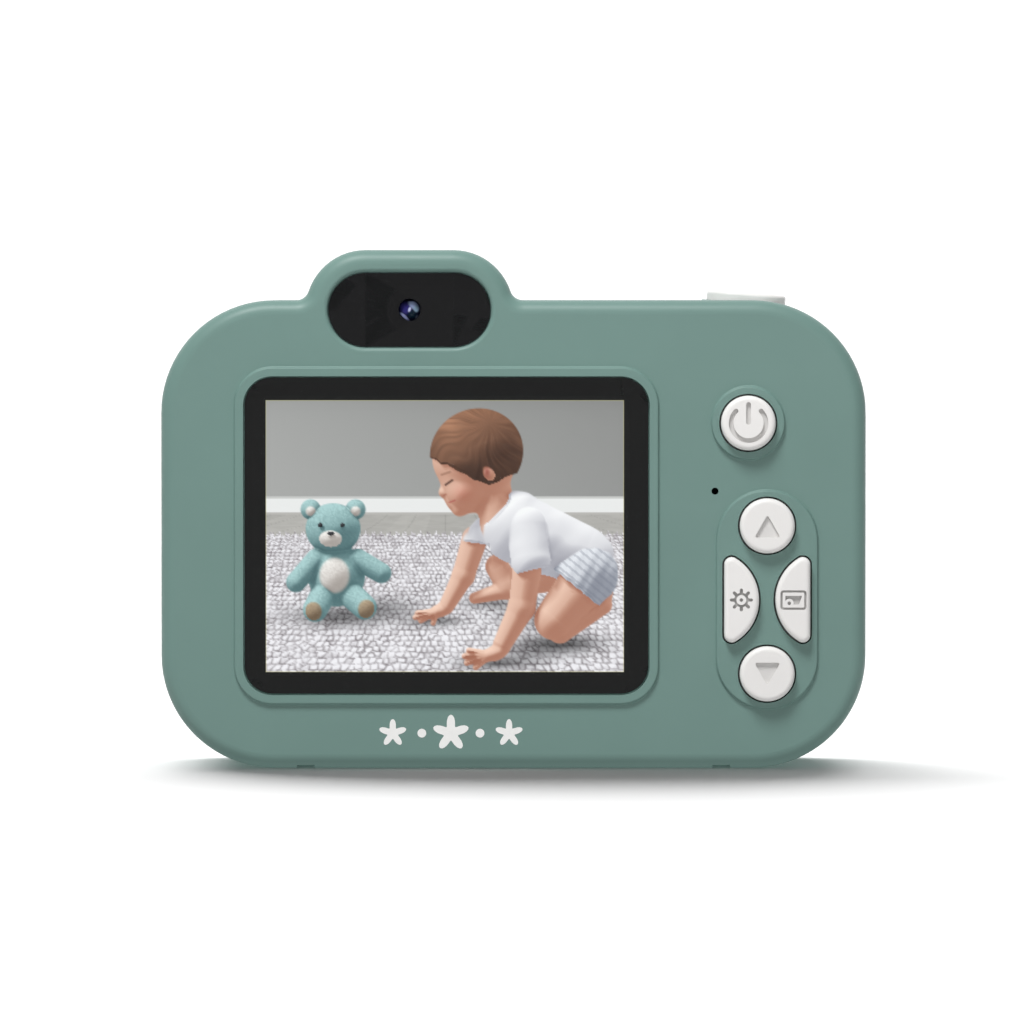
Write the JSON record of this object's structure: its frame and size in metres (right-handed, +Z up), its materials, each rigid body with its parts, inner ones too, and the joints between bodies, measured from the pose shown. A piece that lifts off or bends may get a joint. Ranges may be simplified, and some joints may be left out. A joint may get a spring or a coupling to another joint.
{
  "type": "kids digital camera",
  "caption": "Pocket toy camera with rounded two-part shell, screen and keys behind, lens barrel in front, viewfinder hump with small selfie window and a top shutter key.",
  "frame": {"origin": "under the middle of the camera's whole extent, on the plane it stands on", "axes": "+X to the right as seen from the screen side, +Y towards the lens side, +Z up"},
  "size_m": [0.08, 0.037, 0.0588],
  "materials": {
    "body_green": "soft gloss, light orange peel",
    "key_ivory": "soft gloss",
    "screen_clear": "polished acrylic",
    "window_dark": "polished smoked acrylic",
    "print_black": "matt black film",
    "lcd_picture": "lit picture behind glass",
    "backlight_white": "moulded",
    "ribbon_amber": "polyimide film",
    "switch_black": "moulded",
    "plunger_white": "moulded",
    "screw_steel": "zinc plated",
    "pin_chrome": "plated",
    "board_green": "solder mask",
    "chip_black": "moulded",
    "connector_cream": "moulded",
    "can_silver": "satin",
    "boot_rubber": "matt",
    "port_shell": "stamped and plated",
    "cover_rubber": "matt",
    "card_black": "moulded",
    "cell_silver": "pouch foil",
    "tape_grey": "foam tape",
    "wire_red": "insulated",
    "wire_black": "insulated",
    "speaker_metal": "pressed",
    "barrel_ivory": "soft gloss",
    "trim_silver": "satin plated",
    "lens_clear": "coated",
    "baffle_black": "fine matt",
    "module_black": "moulded",
    "lens_blue": "coated",
    "led_yellow": "phosphor"
  },
  "bodies": {
    "housing": {"rear_cover": "body_green", "front_cover": "body_green", "case_screws": "screw_steel", "lanyard_pin": "pin_chrome", "screen_window": "screen_clear", "screen_window_tape": "print_black", "rear_lens_window": "window_dark", "rear_lens_tape": "print_black", "lcd_panel": "lcd_picture", "lcd_frame": "backlight_white", "lcd_flex": "ribbon_amber", "button_switches": "switch_black", "shutter_switch": "switch_black", "shutter_board": "board_green", "shutter_board_screws": "screw_steel", "shutter_leads": "wire_black", "main_board": "board_green", "board_screws": "screw_steel", "board_chips": "chip_black", "board_connectors": "connector_cream", "microphone": "can_silver", "microphone_boot": "boot_rubber", "usb_connector": "port_shell", "port_cover_anchor": "cover_rubber", "card_socket": "port_shell", "battery": "cell_silver", "battery_tape": "tape_grey", "battery_lead_red": "wire_red", "battery_lead_black": "wire_black", "speaker": "speaker_metal", "speaker_leads": "wire_red", "lens_barrel": "barrel_ivory", "lens_screws": "screw_steel", "lens_trim_ring": "trim_silver", "lens_window": "lens_clear", "lens_baffle": "baffle_black", "camera_module": "module_black", "camera_lens": "lens_blue", "camera_flex": "ribbon_amber", "selfie_module": "module_black", "selfie_lens": "lens_blue", "selfie_flex": "ribbon_amber", "flash_window": "screen_clear", "flash_board": "board_green", "flash_led": "led_yellow", "flash_leads": "wire_red"},
    "power_key": {"power_button": "key_ivory", "power_plunger": "plunger_white"},
    "up_key": {"up_button": "key_ivory", "up_plunger": "plunger_white"},
    "down_key": {"down_button": "key_ivory", "down_plunger": "plunger_white"},
    "settings_key": {"settings_button": "key_ivory", "settings_plunger": "plunger_white"},
    "frame_key": {"frame_button": "key_ivory", "frame_plunger": "plunger_white"},
    "shutter_key": {"shutter_button": "key_ivory", "shutter_plunger": "plunger_white"},
    "port_flap": {"port_cover": "cover_rubber"},
    "card": {"memory_card": "card_black"}
  },
  "joints": [
    {"name": "power_press", "type": "slide", "parent": "housing", "child": "power_key", "axis": [0, 1, 0], "range_m": [0, 0.0005], "stiffness_N_per_m": 400, "springref_m": -0.0006},
    {"name": "up_press", "type": "slide", "parent": "housing", "child": "up_key", "axis": [0, 1, 0], "range_m": [0, 0.0005], "stiffness_N_per_m": 400, "springref_m": -0.0006},
    {"name": "down_press", "type": "slide", "parent": "housing", "child": "down_key", "axis": [0, 1, 0], "range_m": [0, 0.0005], "stiffness_N_per_m": 400, "springref_m": -0.0006},
    {"name": "settings_press", "type": "slide", "parent": "housing", "child": "settings_key", "axis": [0, 1, 0], "range_m": [0, 0.0005], "stiffness_N_per_m": 400, "springref_m": -0.0006},
    {"name": "frame_press", "type": "slide", "parent": "housing", "child": "frame_key", "axis": [0, 1, 0], "range_m": [0, 0.0005], "stiffness_N_per_m": 400, "springref_m": -0.0006},
    {"name": "shutter_press", "type": "slide", "parent": "housing", "child": "shutter_key", "axis": [-0.0785, 0, -0.9969], "range_m": [0, 0.0005], "stiffness_N_per_m": 400, "springref_m": -0.0006},
    {"name": "port_flap_hinge", "type": "hinge", "parent": "housing", "child": "port_flap", "pos_m": [0.0396, -0.0087, 0.0386], "axis": [0, -1, 0], "range_deg": [0, 100]},
    {"name": "card_slide", "type": "slide", "parent": "housing", "child": "card", "axis": [1, 0, 0], "range_m": [0, 0.013]}
  ]
}
